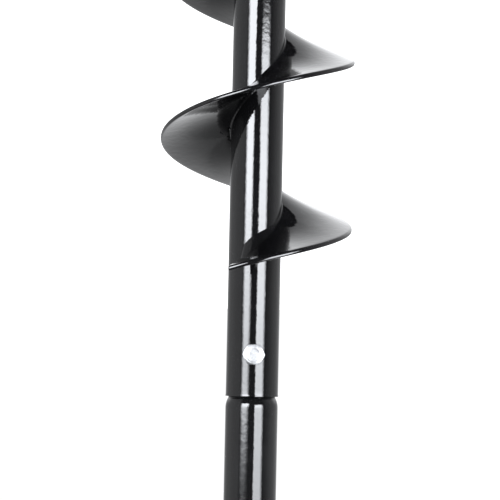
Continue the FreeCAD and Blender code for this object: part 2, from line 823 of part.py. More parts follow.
def stem_cap():
    """Domed plastic plug in the upper end of the stem, hollow from below."""
    cap = body("stem_cap")
    skirt_r = bore_r - cell("cap_gap")
    hollow = skirt_r - cell("cap_wall")
    skirt = cell("stem_head") - cell("crossbar_od") / 2 - cell("cap_clear")
    dome, brim = cell("cap_dome"), cell("cap_brim")
    drawing = sketch(cap, "cap_section", "XZ_Plane")
    ball = (tube_r * tube_r + (dome - brim) * (dome - brim)) / (2 * (dome - brim))
    corners = [
        (hollow, -skirt),
        (skirt_r, -skirt),
        (skirt_r, 0),
        (tube_r, 0),
        (tube_r, brim),
        (0, dome),
        (0, 0),
        (hollow, 0),
    ]
    outline(drawing, corners, free=[5], arcs={4: (0, dome - ball)})
    revolve(cap, drawing, "cap_turning")
    place(cap, (0, 0, crossbar_z + cell("stem_head")))


def grip(label, side):
    """Closed rubber grip with a flange and grooves, on one end of the crossbar."""
    sleeve = body(label)
    inner = cell("crossbar_od") / 2
    outer = inner + cell("grip_wall")
    flange = outer + cell("grip_flange")
    end = cell("crossbar_length") / 2
    start = end - cell("grip_length")
    drawing = sketch(sleeve, label + "_section", "XZ_Plane")
    corners = [
        (start, inner),
        (end, inner),
        (end, 0),
        (end + cell("grip_end"), 0),
        (end + cell("grip_end"), outer),
        (start + cell("grip_flange_width"), outer),
        (start + cell("grip_flange_width"), flange),
        (start, flange),
    ]
    outline(drawing, corners)
    revolve(sleeve, drawing, label + "_barrel", "H_Axis")

    def outside_edges(spot, edge):
        on_end = abs(spot.x - (end + cell("grip_end")).value) < LOOK
        return on_end and edge.BoundBox.ZMax > outer.value - LOOK

    soften(sleeve, label + "_end_round", outside_edges, cell("grip_wall") / 2, "PartDesign::Fillet")
    cut_in = sketch(sleeve, label + "_groove_section", "XZ_Plane")
    depth, width = cell("grip_groove"), cell("grip_groove_width")
    first = start + cell("grip_flange_width") + cell("grip_rib_pitch")
    over = outer + depth
    corners = [(first - width / 4, outer - depth), (first + width / 4, outer - depth)]
    corners += [(first + width, over), (first - width, over)]
    outline(cut_in, corners)
    ring = groove(sleeve, cut_in, label + "_groove", "H_Axis")
    row = sleeve.newObject("PartDesign::LinearPattern", label + "_grooves")
    row.Originals = [ring]
    row.Direction = (cut_in, ["H_Axis"])
    count = int(cell("grip_groove_count").value)
    row.Occurrences = count
    bind(row, "Length", cell("grip_rib_pitch") * (count - 1))
    sleeve.Tip = row
    doc.recompute()
    place(sleeve, (0, 0, crossbar_z), turn((0, 0, 1), 0 if side > 0 else 180))


# ---------------------------------------------------------------- build


def check():
    """Stops at any feature that failed and at any sub-part without a sound solid."""
    doc.recompute()
    for item in doc.Objects:
        if {"Invalid", "Error"} & set(item.State):
            raise RuntimeError("%s is %s" % (item.Label, item.State))
    for node in nodes:
        shape = node.Shape
        if shape.isNull() or not shape.isValid() or not shape.Solids:
            raise RuntimeError("%s has no sound solid" % node.Label)


def write():
    os.makedirs(OUT, exist_ok=True)
    for node in nodes:
        node.Shape.exportStep("%s/%s.step" % (OUT, node.Label))
        print("%-24s %d solid(s) %10.1f mm3" % (node.Label, len(node.Shape.Solids), node.Shape.Volume))


def main():
    fill_sheet()
    shared_sizes()
    pilot_point()
    pilot_pin()
    auger_tube()
    flights()
    blade_sets()
    joint_fasteners()
    handle_stem()
    crossbar()
    crossbar_welds()
    stem_cap()
    grip("grip_right", 1)
    grip("grip_left", -1)
    check()
    write()


main()
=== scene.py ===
"""Two-piece hand soil auger in a white studio: black powder coat, zinc bolts, worn steel."""

import math
import random

import bmesh
import bpy
from mathutils import Matrix, Vector, noise


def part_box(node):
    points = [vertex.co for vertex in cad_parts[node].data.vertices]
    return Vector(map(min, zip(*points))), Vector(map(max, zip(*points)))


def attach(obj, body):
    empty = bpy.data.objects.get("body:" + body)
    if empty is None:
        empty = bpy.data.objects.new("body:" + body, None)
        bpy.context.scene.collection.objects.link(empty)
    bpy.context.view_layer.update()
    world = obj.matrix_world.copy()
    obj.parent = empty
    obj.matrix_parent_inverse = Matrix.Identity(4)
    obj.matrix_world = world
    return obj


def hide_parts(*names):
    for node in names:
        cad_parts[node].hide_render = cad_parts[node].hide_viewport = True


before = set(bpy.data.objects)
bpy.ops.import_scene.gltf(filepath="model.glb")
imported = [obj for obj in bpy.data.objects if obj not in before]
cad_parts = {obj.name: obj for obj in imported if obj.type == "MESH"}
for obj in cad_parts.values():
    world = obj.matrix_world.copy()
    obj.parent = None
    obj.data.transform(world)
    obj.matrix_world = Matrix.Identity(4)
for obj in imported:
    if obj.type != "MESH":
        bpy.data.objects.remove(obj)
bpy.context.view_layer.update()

MM = 0.001
TURN = 2 * math.pi
UP = Vector((0, 0, 1))

# ---------------------------------------------------------------- sizes, in metres and radians

COAT = 0.3 * MM  # powder coat on the tubes
TUBE_R = (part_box("auger_tube")[1].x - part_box("auger_tube")[0].x) / 2 + COAT
TUBE_WALL = 2 * MM
TUBE_LOW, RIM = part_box("auger_tube")[0].z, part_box("auger_tube")[1].z
RIM_CUT = 0.9 * MM  # the tube's cut edge lies this far below its nominal rim
SPIGOT_GAP = 0.15 * MM
SHOULDER_BEND = 15.5 * MM

FLIGHT_R = 75 * MM
PITCH = 130 * MM
DISH = 12 * MM  # rise of the plate from its root to its rim
PLATE = 3.5 * MM
PLATE_EDGE = 1.75 * MM  # rounding of the plate's rim
FLIGHT_TURNS = 3
LEAD_TURNS = 0.42
FLIGHT_END = math.radians(-72)  # bearing of both ends of the main flight
END_CUT = 0.018  # angle cut off a flight's upper end
WELD_FOOT = {1: 1.4 * MM, -1: 0.8 * MM}  # leg of the bead above (1) and below (-1) the plate
WELD_RIPPLE = 3.1 * MM
END_WELD = 10 * MM  # extra weld under the upper end of the main flight

CROSSBAR_R = (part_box("crossbar")[1].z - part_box("crossbar")[0].z) / 2
CROSSBAR_Z = (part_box("crossbar")[1].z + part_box("crossbar")[0].z) / 2
CROSSBAR_GAP = 0.15 * MM

JOINT_Z = (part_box("joint_bolt")[1].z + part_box("joint_bolt")[0].z) / 2
BOLT_R = 5 * MM
BOLT_HOLE_R = 5.25 * MM
BOLT_PITCH = 1.5 * MM
BOLT_DROOP = 0.6 * MM  # the head sits this far below true

ROUND_STEPS = 128  # facets of a turned piece
BOLT_STEPS = 120  # facets of a bolt


def plate_height(radius):
    """Upright thickness of the sloping flight plate at a radius."""
    climb = PITCH / (TURN * radius)
    lean = DISH / (FLIGHT_R - TUBE_R)
    return PLATE * math.sqrt(1 + climb * climb + lean * lean)


FLIGHT_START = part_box("main_flight")[1].z - DISH - plate_height(FLIGHT_R) / 2
FLIGHT_START -= PITCH * FLIGHT_TURNS

# ---------------------------------------------------------------- shader terms


class Term:
    """A value that varies over a surface: a node's socket with arithmetic on it."""

    def __init__(self, finish, socket):
        self.finish = finish
        self.socket = socket

    def math(self, operation, left, right):
        return self.finish.add("ShaderNodeMath", {"operation": operation}, {0: left, 1: right})

    def __add__(self, other):
        return self.math("ADD", self, other)

    __radd__ = __add__

    def __sub__(self, other):
        return self.math("SUBTRACT", self, other)

    def __rsub__(self, other):
        return self.math("SUBTRACT", other, self)

    def __mul__(self, other):
        return self.math("MULTIPLY", self, other)

    def __truediv__(self, other):
        return self.math("DIVIDE", self, other)

    def __pow__(self, other):
        return self.math("POWER", self, other)


class Nodes:
    """Adds nodes to a material's or a light's tree."""

    def __init__(self, tree):
        self.tree = tree
        tree.nodes.clear()

    def add(self, kind, settings, sockets, output=0):
        """One node: its settings first, then its sockets, and the output asked for."""
        node = self.tree.nodes.new(kind)
        for name, value in settings.items():
            if name == "stops":
                self.set_stops(node.color_ramp, value)
            else:
                setattr(node, name, value)
        for name, value in sockets.items():
            self.feed(node.inputs[name], value)
        return Term(self, node.outputs[output]) if node.outputs else node

    def feed(self, socket, value):
        """Links a term to a socket, or sets a plain value on it."""
        if isinstance(value, Term):
            self.tree.links.new(value.socket, socket)
        elif hasattr(socket.default_value, "__len__") and len(socket.default_value) == 4:
            socket.default_value = (*value, 1) if len(value) == 3 else value
        else:
            socket.default_value = value

    @staticmethod
    def set_stops(ramp, stops):
        """Grey stops of a colour ramp, as (place, value)."""
        while len(ramp.elements) < len(stops):
            ramp.elements.new(1)
        for element, (place, value) in zip(ramp.elements, stops):
            element.position = place
            element.color = (value, value, value, 1)

    def place(self):
        """A point's own place on the tool, in metres."""
        return self.add("ShaderNodeTexCoord", {}, {}, "Object")

    def stretched(self, scale):
        """A point's place, scaled by a different amount along each axis."""
        sockets = {"Vector": self.place(), "Scale": scale}
        return self.add("ShaderNodeMapping", {"vector_type": "POINT"}, sockets)

    def noise(self, scale, detail=2, rough=0.5, vector=None, warp=0):
        """Noise from 0 to 1 with about scale patches to the metre."""
        sockets = {"Scale": scale, "Detail": detail, "Roughness": rough, "Distortion": warp}
        sockets["Vector"] = vector or self.place()
        return self.add("ShaderNodeTexNoise", {}, sockets, "Fac")

    def ramp(self, term, low, high):
        """0 below low, 1 above high, smooth between."""
        settings = {"interpolation_type": "SMOOTHSTEP", "clamp": True}
        sockets = {"Value": term, "From Min": low, "From Max": high}
        return self.add("ShaderNodeMapRange", settings, sockets)

    def mix(self, share, first, second):
        """A colour between two colours."""
        sockets = {0: share, 6: first, 7: second}
        return self.add("ShaderNodeMix", {"data_type": "RGBA"}, sockets, 2)

    def bump(self, height, depth, normal=None):
        """Raises the surface by depth, in metres, where height is 1."""
        sockets = {"Height": height, "Distance": depth, "Strength": 1}
        if normal:
            sockets["Normal"] = normal
        return self.add("ShaderNodeBump", {}, sockets)

    def dot(self, first, second):
        sockets = {0: first, 1: second}
        return self.add("ShaderNodeVectorMath", {"operation": "DOT_PRODUCT"}, sockets, "Value")

    def part(self, vector, axis):
        """A vector's X, Y or Z."""
        return self.add("ShaderNodeSeparateXYZ", {}, {"Vector": vector}, axis)

    def edges(self, reach):
        """Above 0 on sharp edges, 0 on open surfaces."""
        bevel = self.add("ShaderNodeBevel", {"samples": 6}, {"Radius": reach})
        true = self.add("ShaderNodeNewGeometry", {}, {}, "True Normal")
        return 1 - self.dot(bevel, true)


class Finish(Nodes):
    """A material with one Principled shader."""

    def __init__(self, name):
        self.material = bpy.data.materials.new(name)
        self.material.use_nodes = True
        super().__init__(self.material.node_tree)

    def done(self, **sockets):
        """Closes the material; each keyword is a socket's name, with _ for a space."""
        values = {name.replace("_", " "): value for name, value in sockets.items()}
        shader = self.add("ShaderNodeBsdfPrincipled", {}, values)
        self.add("ShaderNodeOutputMaterial", {}, {"Surface": shader})
        return self.material


# ---------------------------------------------------------------- finishes


def black_powder_coat():
    """Gloss black powder coat: orange peel, long waves, faint handling marks."""
    coat = Finish("black_powder_coat")
    peel = coat.noise(230, 3, 0.55)
    waves = coat.noise(38, 1, 0.4)
    surface = coat.bump(peel, 0.085 * MM, coat.bump(waves, 0.14 * MM))
    haze = coat.ramp(coat.noise(24, 5, 0.65, warp=0.6), 0.5, 0.75)
    specks = coat.ramp(coat.noise(1400, 0, 0.5), 0.79, 0.86)
    colour = coat.mix(haze, (0.0016, 0.0016, 0.0018), (0.003, 0.003, 0.0032))
    colour = coat.mix(specks * 0.5, colour, (0.02, 0.02, 0.02))
    rough = 0.045 + haze * 0.03 + specks * 0.1
    return coat.done(Base_Color=colour, Roughness=rough, IOR=1.5, Normal=surface)


def bright_zinc():
    """Bright zinc plate on a rolled bolt: fine crystals, dull smears, darker nicks."""
    zinc = Finish("bright_zinc")
    smear = zinc.noise(420, 4, 0.6, warp=0.8)
    grain = zinc.noise(5200, 2, 0.6)
    nicks = zinc.ramp(zinc.noise(1500, 3, 0.7), 0.62, 0.72)
    colour = zinc.mix(zinc.ramp(smear, 0.35, 0.7), (0.29, 0.292, 0.295), (0.22, 0.222, 0.227))
    colour = zinc.mix(nicks * 0.5, colour, (0.17, 0.17, 0.174))
    rough = 0.3 + smear * 0.12 + grain * 0.05
    surface = zinc.bump(grain, 0.01 * MM, zinc.bump(smear, 0.05 * MM))
    return zinc.done(Base_Color=colour, Metallic=1.0, Roughness=rough, Normal=surface)


def ground_steel():
    """Hardened blade steel, ground across its width, with a blue-brown tint from the heat."""
    steel = Finish("ground_steel")
    scratches = steel.noise(900, 3, 0.7, steel.stretched((0.06, 1, 1)))
    tint = steel.ramp(steel.noise(60, 4, 0.6, warp=1), 0.42, 0.68)
    rust = steel.ramp(steel.noise(300, 6, 0.75), 0.66, 0.76)
    colour = steel.mix(tint, (0.36, 0.355, 0.35), (0.2, 0.185, 0.175))
    colour = steel.mix(rust * 0.35, colour, (0.12, 0.055, 0.03))
    colour = steel.mix(steel.edges(0.8 * MM) * 2, colour, (0.6, 0.6, 0.6))
    rough = 0.3 + scratches * 0.22 + rust * 0.3
    return steel.done(
        Base_Color=colour, Metallic=1 - rust * 0.4, Roughness=rough,
        Normal=steel.bump(scratches, 0.05 * MM),
    )


def worn_point():
    """Black coat on forged steel, rubbed through to bright metal at the edges."""
    point = Finish("worn_point")
    scale_marks = point.noise(130, 5, 0.65)
    worn = point.ramp(point.edges(1.6 * MM) * 3 + (scale_marks - 0.5) * 1.1, 0.12, 0.4)
    colour = point.mix(worn, (0.006, 0.006, 0.006), (0.42, 0.415, 0.41))
    rough = 0.22 + worn * 0.12 + scale_marks * 0.12
    return point.done(
        Base_Color=colour, Metallic=worn, Roughness=rough,
        Normal=point.bump(scale_marks, 0.25 * MM),
    )


def spring_steel():
    """Dark phosphated spring steel."""
    steel = Finish("spring_steel")
    grain = steel.noise(2500, 3, 0.6)
    colour = steel.mix(grain, (0.03, 0.03, 0.032), (0.09, 0.088, 0.085))
    return steel.done(
        Base_Color=colour, Metallic=0.8, Roughness=0.35 + grain * 0.2,
        Normal=steel.bump(grain, 0.02 * MM),
    )


def grip_rubber():
    """Moulded rubber: matt, pebbled, paler where it is handled."""
    rubber = Finish("grip_rubber")
    pebble = rubber.noise(1500, 2, 0.5)
    dust = rubber.ramp(rubber.noise(70, 5, 0.65), 0.45, 0.8)
    colour = rubber.mix(dust * 0.5, (0.011, 0.011, 0.0115), (0.035, 0.034, 0.033))
    return rubber.done(
        Base_Color=colour, Roughness=0.55 + pebble * 0.2, Specular_IOR_Level=0.35,
        Normal=rubber.bump(pebble, 0.12 * MM),
    )


def cap_plastic():
    """Moulded black polyethylene."""
    plastic = Finish("cap_plastic")
    skin = plastic.noise(900, 3, 0.6)
    colour = plastic.mix(skin, (0.012, 0.012, 0.012), (0.022, 0.022, 0.022))
    return plastic.done(
        Base_Color=colour, Roughness=0.38 + skin * 0.18, Normal=plastic.bump(skin, 0.06 * MM)
    )


def blue_nylon():
    """Dyed nylon ring of a lock nut."""
    nylon = Finish("blue_nylon")
    cloud = nylon.noise(800, 3, 0.5)
    colour = nylon.mix(cloud, (0.03, 0.12, 0.38), (0.06, 0.19, 0.5))
    return nylon.done(Base_Color=colour, Roughness=0.4 + cloud * 0.15, Subsurface_Weight=0.1)


# ---------------------------------------------------------------- mesh tools


def new_piece(name, mesh, material, slot, *nodes):
    """A piece that rides on the tool, takes a finish and stands for CAD nodes; slot is not
    used.
    """
    mesh.materials.clear()
    mesh.materials.append(material)
    piece = bpy.data.objects.new(name, mesh)
    bpy.context.scene.collection.objects.link(piece)
    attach(piece, "root")
    if nodes:
        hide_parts(*nodes)
    return piece


def mesh_from(name, points, faces):
    """A smooth mesh with its folds kept sharp."""
    mesh = bpy.data.meshes.new(name)
    mesh.from_pydata([tuple(point) for point in points], [], faces)
    mesh.validate()
    mesh.shade_smooth()
    mesh.set_sharp_from_angle(angle=math.radians(35))
    return mesh


def tidy_normals(mesh):
    """Turns every face outwards."""
    shell = bmesh.new()
    shell.from_mesh(mesh)
    bmesh.ops.recalc_face_normals(shell, faces=shell.faces)
    shell.to_mesh(mesh)
    shell.free()
    return mesh


def skin(name, rings, closed=False):
    """Skins rings of points: joins the last to the first if closed, or else caps both."""
    count = len(rings[0])
    points = [point for ring in rings for point in ring]
    faces = []
    last = len(rings) if closed else len(rings) - 1
    for row in range(last):
        this, following = row * count, (row + 1) % len(rings) * count
        for n in range(count):
            after = (n + 1) % count
            faces.append((this + n, this + after, following + after, following + n))
    if not closed:
        faces.append(tuple(range(count))[::-1])
        faces.append(tuple((len(rings) - 1) * count + n for n in range(count)))
    return tidy_normals(mesh_from(name, points, faces))


def polar(radius, angle, height):
    return Vector((radius * math.cos(angle), radius * math.sin(angle), height))


def loop(radius, height, steps=ROUND_STEPS):
    return [polar(radius, TURN * n / steps, height) for n in range(steps)]


def along(low, high, count):
    """Evenly spaced numbers from low to high, both included."""
    return [low + (high - low) * n / (count - 1) for n in range(count)]


def hollow_turned(name, outline):
    """Turns a closed outline of (radius, height) about Z."""
    angles = [TURN * n / ROUND_STEPS for n in range(ROUND_STEPS)]
    rings = [[polar(r, angle, z) for r, z in outline] for angle in angles]
    return skin(name, rings, closed=True)


def solid_turned(name, outline):
    """Turns an open outline of (radius, height) about Z and closes both of its ends."""
    return skin(name, [loop(r, z) for r, z in outline])


def rounded(corners, radius, steps=4):
    """Rounds each corner of a closed outline; radius is a number or one per corner."""
    count = len(corners)
    radii = radius if isinstance(radius, (list, tuple)) else [radius] * count
    out = []
    for n, (x, y) in enumerate(corners):
        corner = Vector((x, y))
        before = Vector(corners[n - 1]) - corner
        after = Vector(corners[(n + 1) % count]) - corner
        cut = min(radii[n], before.length * 0.45, after.length * 0.45)
        if cut <= 0:
            out.append((x, y))
            continue
        start, end = corner + before.normalized() * cut, corner + after.normalized() * cut
        for step in range(steps + 1):
            share = step / steps
            point = start.lerp(corner, share).lerp(corner.lerp(end, share), share)
            out.append((point.x, point.y))
    return out


# ---------------------------------------------------------------- flights


def flight_section(trim):
    """Outline of the plate as (radius, height) with a rounded rim; trim shrinks it."""
    inner, outer = plate_height(TUBE_R) / 2 - trim, plate_height(FLIGHT_R) / 2 - trim
    low, high = TUBE_R - 0.2 * MM, FLIGHT_R - trim
    span = FLIGHT_R - TUBE_R
    count = 15
    top = [
        (r, inner + (DISH + outer - inner) * (r - TUBE_R) / span)
        for r in along(low, high, count)
    ]
    base = [
        (r, -inner + (DISH - outer + inner) * (r - TUBE_R) / span)
        for r in along(high, low, count)
    ]
    straight = [0] * (count - 1)
    return rounded(top + base, straight + [PLATE_EDGE, PLATE_EDGE] + straight, 5)


def strayed(swept, angle, out=0):
    """Height of the pulled plate above the true helix; out is 0 at its root, 1 at its rim."""
    grown = min(1, swept / TURN)
    return (1.6 + out * (1.3 * math.sin(angle) - math.cos(angle))) * grown * MM


def flight_mesh(name, start_angle, turns):
    """Sweeps the plate up the helix, with rounded ends and the waves of pressed plate."""
    ends, near_ends = 0.35 * MM, 0.1 * MM  # how much the section shrinks there
    ease = ends / FLIGHT_R
    whole = TURN * turns - END_CUT
    steps = round(turns * 300)
    stations = [(0, ends), (ease, near_ends), (2 * ease, 0)]
    stations += [(whole * n / steps, 0) for n in range(1, steps)]
    stations += [(whole - 2 * ease, 0), (whole - ease, near_ends), (whole, ends)]
    rings = []
    for swept, trim in stations:
        angle = start_angle + swept
        height = FLIGHT_START + PITCH * swept / TURN
        ring = []
        for r, z in flight_section(trim):
            out = (r - TUBE_R) / (FLIGHT_R - TUBE_R)
            wave = noise.noise(Vector((r * 14, angle * 1.1, height * 9))) * 0.5 * MM
            wave *= max(out, 0)
            ring.append(polar(r, angle, height + z + wave + strayed(swept, angle, out)))
        rings.append(ring)
    return skin(name, rings)


def bead_mesh(name, start_angle, turns, side, build_up):
    """Fillet weld along the flight's root, rippled by the torch and smoothed by the coat.

    build_up is the extra weld laid on at the upper end, where the bead runs on past the plate.
    """
    half = plate_height(TUBE_R) / 2
    lean = (DISH + side * (plate_height(FLIGHT_R) / 2 - half)) / (FLIGHT_R - TUBE_R)
    climb = math.sqrt(1 + (PITCH / (TURN * TUBE_R)) ** 2)
    whole = turns * math.hypot(TURN * TUBE_R, PITCH)
    last = whole + build_up * 0.6
    rings = []
    for run in along(0, last, round(last / (0.5 * MM))):
        swept = TURN * turns * run / whole
        ripple = abs(math.sin(math.pi * run / WELD_RIPPLE + side))
        drift = noise.noise(Vector((run * 55, side * 7, turns)))
        nose = 1 - min(1, 0.02 + min(run, last - run) / (2.5 * MM))
        ends = math.sqrt(1 - nose * nose)
        rest = max(0, whole - run) / (24 * MM)
        extra = build_up * math.exp(-rest * rest) * ends
        leg = WELD_FOOT[side] * (0.94 + 0.14 * drift + 0.07 * ripple) * ends
        foot, rise = leg + extra * 0.45, leg * climb + extra
        relief = max(0, 1 - 1.6 * extra / END_WELD)
        section = []
        for share in along(0, 1, 12):
            hollow = (0.5 + 0.1 * drift - 0.08 * ripple) * share * (1 - share) * relief
            r, z = foot * (1 - share - hollow), rise * (share - hollow)
            section.append((TUBE_R + r, side * (half + z) + lean * r))
        buried, base = TUBE_R - 0.3 * MM, side * (half - 0.3 * MM)
        section += [(buried, side * (half + rise)), (buried, base)]
        section.append((TUBE_R + foot, base + lean * foot))
        height = FLIGHT_START + PITCH * swept / TURN + strayed(swept, 0)
        rings.append([polar(r, start_angle + swept, height + z) for r, z in section])
    return skin(name, rings)


def weld_spatter(coat):
    """Small drops thrown off the welds, under the coat."""
    draw = random.Random(4)
    end = FLIGHT_START + PITCH * FLIGHT_TURNS
    big_drop = (TUBE_R + 1.2 * MM, FLIGHT_END + 1.2, end - PITCH * 0.775 + 1.6 * MM, 0.8 * MM)
    places = [big_drop]
    for _ in range(26):
        swept = draw.uniform(0.3, TURN * FLIGHT_TURNS)
        lift = draw.choice((-1, 1)) * draw.uniform(6, 16) * MM
        height = FLIGHT_START + PITCH * swept / TURN + lift
        places.append((TUBE_R, FLIGHT_END + swept, height, draw.uniform(0.25, 0.5) * MM))
    shell = bmesh.new()
    squat = Matrix.Diagonal((1, 1, 0.8, 1))
    for radius, angle, height, drop in places:
        spot = Matrix.Translation(polar(radius, angle, height)) @ squat
        bmesh.ops.create_icosphere(shell, subdivisions=2, radius=drop, matrix=spot)
    mesh = bpy.data.meshes.new("weld_spatter")
    shell.to_mesh(mesh)
    shell.free()
    mesh.shade_smooth()
    new_piece("weld_spatter", mesh, coat, "black_powder_coat")


def flights(coat):
    """Main flight, and the lead flight on the other side of the tube, each with two beads."""
    both = (("main", FLIGHT_END, FLIGHT_TURNS), ("lead", FLIGHT_END + math.pi, LEAD_TURNS))
    for label, angle, turns in both:
        node = label + "_flight"
        plate = flight_mesh(node + "_plate", angle, turns)
        new_piece(node + "_plate", plate, coat, "black_powder_coat", node)
        for side, where in ((1, "upper"), (-1, "lower")):
            name = "%s_weld_%s" % (node, where)
            build_up = END_WELD if (label, side) == ("main", -1) else 0
            bead = bead_mesh(name + "_bead", angle, turns, side, build_up)
            new_piece(name + "_bead", bead, coat, "black_powder_coat", name)


# ---------------------------------------------------------------- tubes


def drilled(piece, radius, height, axis):
    """Cuts a round hole across a tube, for a bolt, a pin or a bar."""
    way = UP.rotation_difference(Vector(axis)).to_matrix().to_4x4()
    shell = bmesh.new()
    bmesh.ops.create_cone(
        shell, cap_ends=True, segments=48, radius1=radius, radius2=radius, depth=60 * MM,
        matrix=Matrix.Translation((0, 0, height)) @ way,
    )
    mesh = bpy.data.meshes.new("cutter")
    shell.to_mesh(mesh)
    shell.free()
    cutter = bpy.data.objects.new("cutter", mesh)
    bpy.context.scene.collection.objects.link(cutter)
    cut = piece.modifiers.new("hole", "BOOLEAN")
    cut.operation, cut.solver, cut.object = "DIFFERENCE", "EXACT", cutter
    graph = bpy.context.evaluated_depsgraph_get()
    made = bpy.data.meshes.new_from_object(piece.evaluated_get(graph))
    piece.modifiers.clear()
    piece.data = made
    bpy.data.objects.remove(cutter)


def auger_tube(coat):
    """Tube; the coat lies thick round its socket's rim."""
    bore, rim = TUBE_R - TUBE_WALL, RIM - RIM_CUT
    wall = [(bore, TUBE_LOW), (TUBE_R, TUBE_LOW)]
    wall += [(TUBE_R, z) for z in (TUBE_LOW + 0.6 * MM, TUBE_LOW + 1.2 * MM)]
    wall += [(TUBE_R, z) for z in along(TUBE_LOW + 5 * MM, rim - 5 * MM, 60)]
    wall += [(TUBE_R, rim - 2 * MM), (TUBE_R + 0.06 * MM, rim - 1.2 * MM)]
    thick = TUBE_R + 0.18 * MM
    wall += [(thick, rim - 0.6 * MM), (thick, rim), (bore, rim)]
    radii = [0, 0.3 * MM] + [0] * (len(wall) - 5) + [0.25 * MM, 0.15 * MM, 0.4 * MM]
    mesh = hollow_turned("auger_tube_wall", rounded(wall, radii, 6))
    tube = new_piece("auger_tube_wall", mesh, coat, "black_powder_coat", "auger_tube")
    drilled(tube, BOLT_HOLE_R, JOINT_Z, (0, 1, 0))
    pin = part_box("pilot_pin")
    drilled(tube, (pin[1].z - pin[0].z) / 2, (pin[0].z + pin[1].z) / 2, (1, 0, 0))


def handle_stem(coat):
    """Stem: swaged spigot, shoulder drawn out to the full tube, holes for bolt and crossbar."""
    low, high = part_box("handle_stem")[0].z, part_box("handle_stem")[1].z
    spigot = TUBE_R - TUBE_WALL - SPIGOT_GAP
    bend = SHOULDER_BEND
    start = RIM + 0.2 * MM
    rise = math.sqrt(bend ** 2 - (bend - TUBE_R + spigot) ** 2)
    outline = [(spigot - TUBE_WALL, low), (spigot - 0.75 * MM, low), (spigot, low + 1.5 * MM)]
    for share in along(0, 1, 14):
        climb = rise * (1 - share)
        radius = TUBE_R - bend + math.sqrt(bend ** 2 - climb ** 2)
        outline.append((radius, start + rise - climb))
    outline += [(TUBE_R, z) for z in along(start + rise + 4 * MM, high - 1 * MM, 50)]
    outline += [(TUBE_R - 0.3 * MM, high), (TUBE_R - TUBE_WALL, high)]
    outline += [(TUBE_R - TUBE_WALL, start + rise), (spigot - TUBE_WALL, start)]
    mesh = hollow_turned("handle_stem_wall", outline)
    stem = new_piece("handle_stem_wall", mesh, coat, "black_powder_coat", "handle_stem")
    drilled(stem, BOLT_HOLE_R, JOINT_Z, (0, 1, 0))
    drilled(stem, CROSSBAR_R + CROSSBAR_GAP, CROSSBAR_Z, (1, 0, 0))


# ---------------------------------------------------------------- hardware


def hex_radius(angle, flats):
    """Hexagon with rounded corners, one of them at angle 0."""
    power = 13
    flat_angles = [math.radians(30 + 60 * n) for n in range(6)]
    pull = sum(max(0, math.cos(angle - flat)) ** power for flat in flat_angles)
    return flats / 2 * pull ** (-1 / power)


def hex_ring(flats, height, slope=0):
    """A hexagonal loop; slope lowers its corners, as a crown's chamfer does."""
    ring = []
    for n in range(BOLT_STEPS):
        angle = TURN * n / BOLT_STEPS
        reach = hex_radius(angle, flats)
        ring.append(polar(reach, angle, height + max(0, reach - flats * 0.47) * slope))
    return ring


def thread_rings(radius, pitch, low, high):
    """Loops of a rolled thread."""
    depth = 0.6 * pitch
    rings = []
    for height in along(low, high, round((high - low) / pitch * 10)):
        fade = min(1, (height - low) / pitch, (high - height) / (0.8 * pitch) + 0.25)
        ring = []
        for n in range(BOLT_STEPS):
            phase = (height / pitch - n / BOLT_STEPS) % 1
            groove = min(1, max(0, 1.25 - abs(phase - 0.5) * 3.2)) * depth * max(fade, 0)
            ring.append(polar(radius - groove, TURN * n / BOLT_STEPS, height))
        rings.append(ring)
    return rings


def bolt_mesh(name, radius, flats, head, length, pitch):
    """Forged hexagon head with a dished face, plain shank and rolled thread, along +Z."""
    half = flats / 2
    # The head's face as (share of the half width, depth in mm): the dish, then a ring.
    face = [(0.02, 0.1), (0.3, 0.12), (0.48, 0.14), (0.53, 0.14), (0.57, 0.08), (0.6, 0.01)]
    face += [(0.63, 0), (0.76, 0), (0.79, 0.09), (0.82, 0.1), (0.85, 0.02), (0.9, 0.02)]
    places = [(half * share, -head + dent * MM) for share, dent in face]
    rings = [loop(reach, height, BOLT_STEPS) for reach, height in places]
    rings.append(hex_ring(flats, -head, math.tan(math.radians(30))))
    rings.append(hex_ring(flats, -0.25 * MM))
    places = [(0.97 * half, 0), (0.7 * half, 0), (radius, 0), (radius, length * 0.5)]
    rings += [loop(reach, height, BOLT_STEPS) for reach, height in places]
    rings += thread_rings(radius, pitch, length * 0.52, length - 0.3 * MM)
    rings.append(loop(radius * 0.8, length, BOLT_STEPS))
    return skin(name, rings)


def joint_bolt(zinc):
    """Cross bolt, from -Y to +Y, a little out of true in its hole."""
    low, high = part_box("joint_bolt")
    flats = (high.z - low.z) * 0.955
    head = -TUBE_R - low.y
    mesh = bolt_mesh("joint_bolt_forged", BOLT_R, flats, head, high.y + TUBE_R, BOLT_PITCH)
    along_y = Matrix.Rotation(BOLT_DROOP / (2 * TUBE_R) - math.pi / 2, 4, "X")
    mesh.transform(Matrix.Translation((0, -TUBE_R, JOINT_Z - BOLT_DROOP)) @ along_y)
    new_piece("joint_bolt_forged", mesh, zinc, "zinc_plate", "joint_bolt")


# ---------------------------------------------------------------- handle


def along_crossbar(mesh, side):
    """Lays a mesh made along Z on the crossbar's axis, towards +X or -X."""
    lay = Matrix.Rotation(side * math.pi / 2, 4, "Y")
    mesh.transform(Matrix.Translation((0, 0, CROSSBAR_Z)) @ lay)
    return mesh


def crossbar(coat):
    """Straight round tube through the stem."""
    bore, end = CROSSBAR_R - TUBE_WALL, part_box("crossbar")[1].x
    outline = [(bore, -end), (CROSSBAR_R, -end), (CROSSBAR_R, end), (bore, end)]
    mesh = hollow_turned("crossbar_barrel", rounded(outline, 0.4 * MM))
    new_piece("crossbar_barrel", along_crossbar(mesh, 1), coat, "black_powder_coat", "crossbar")


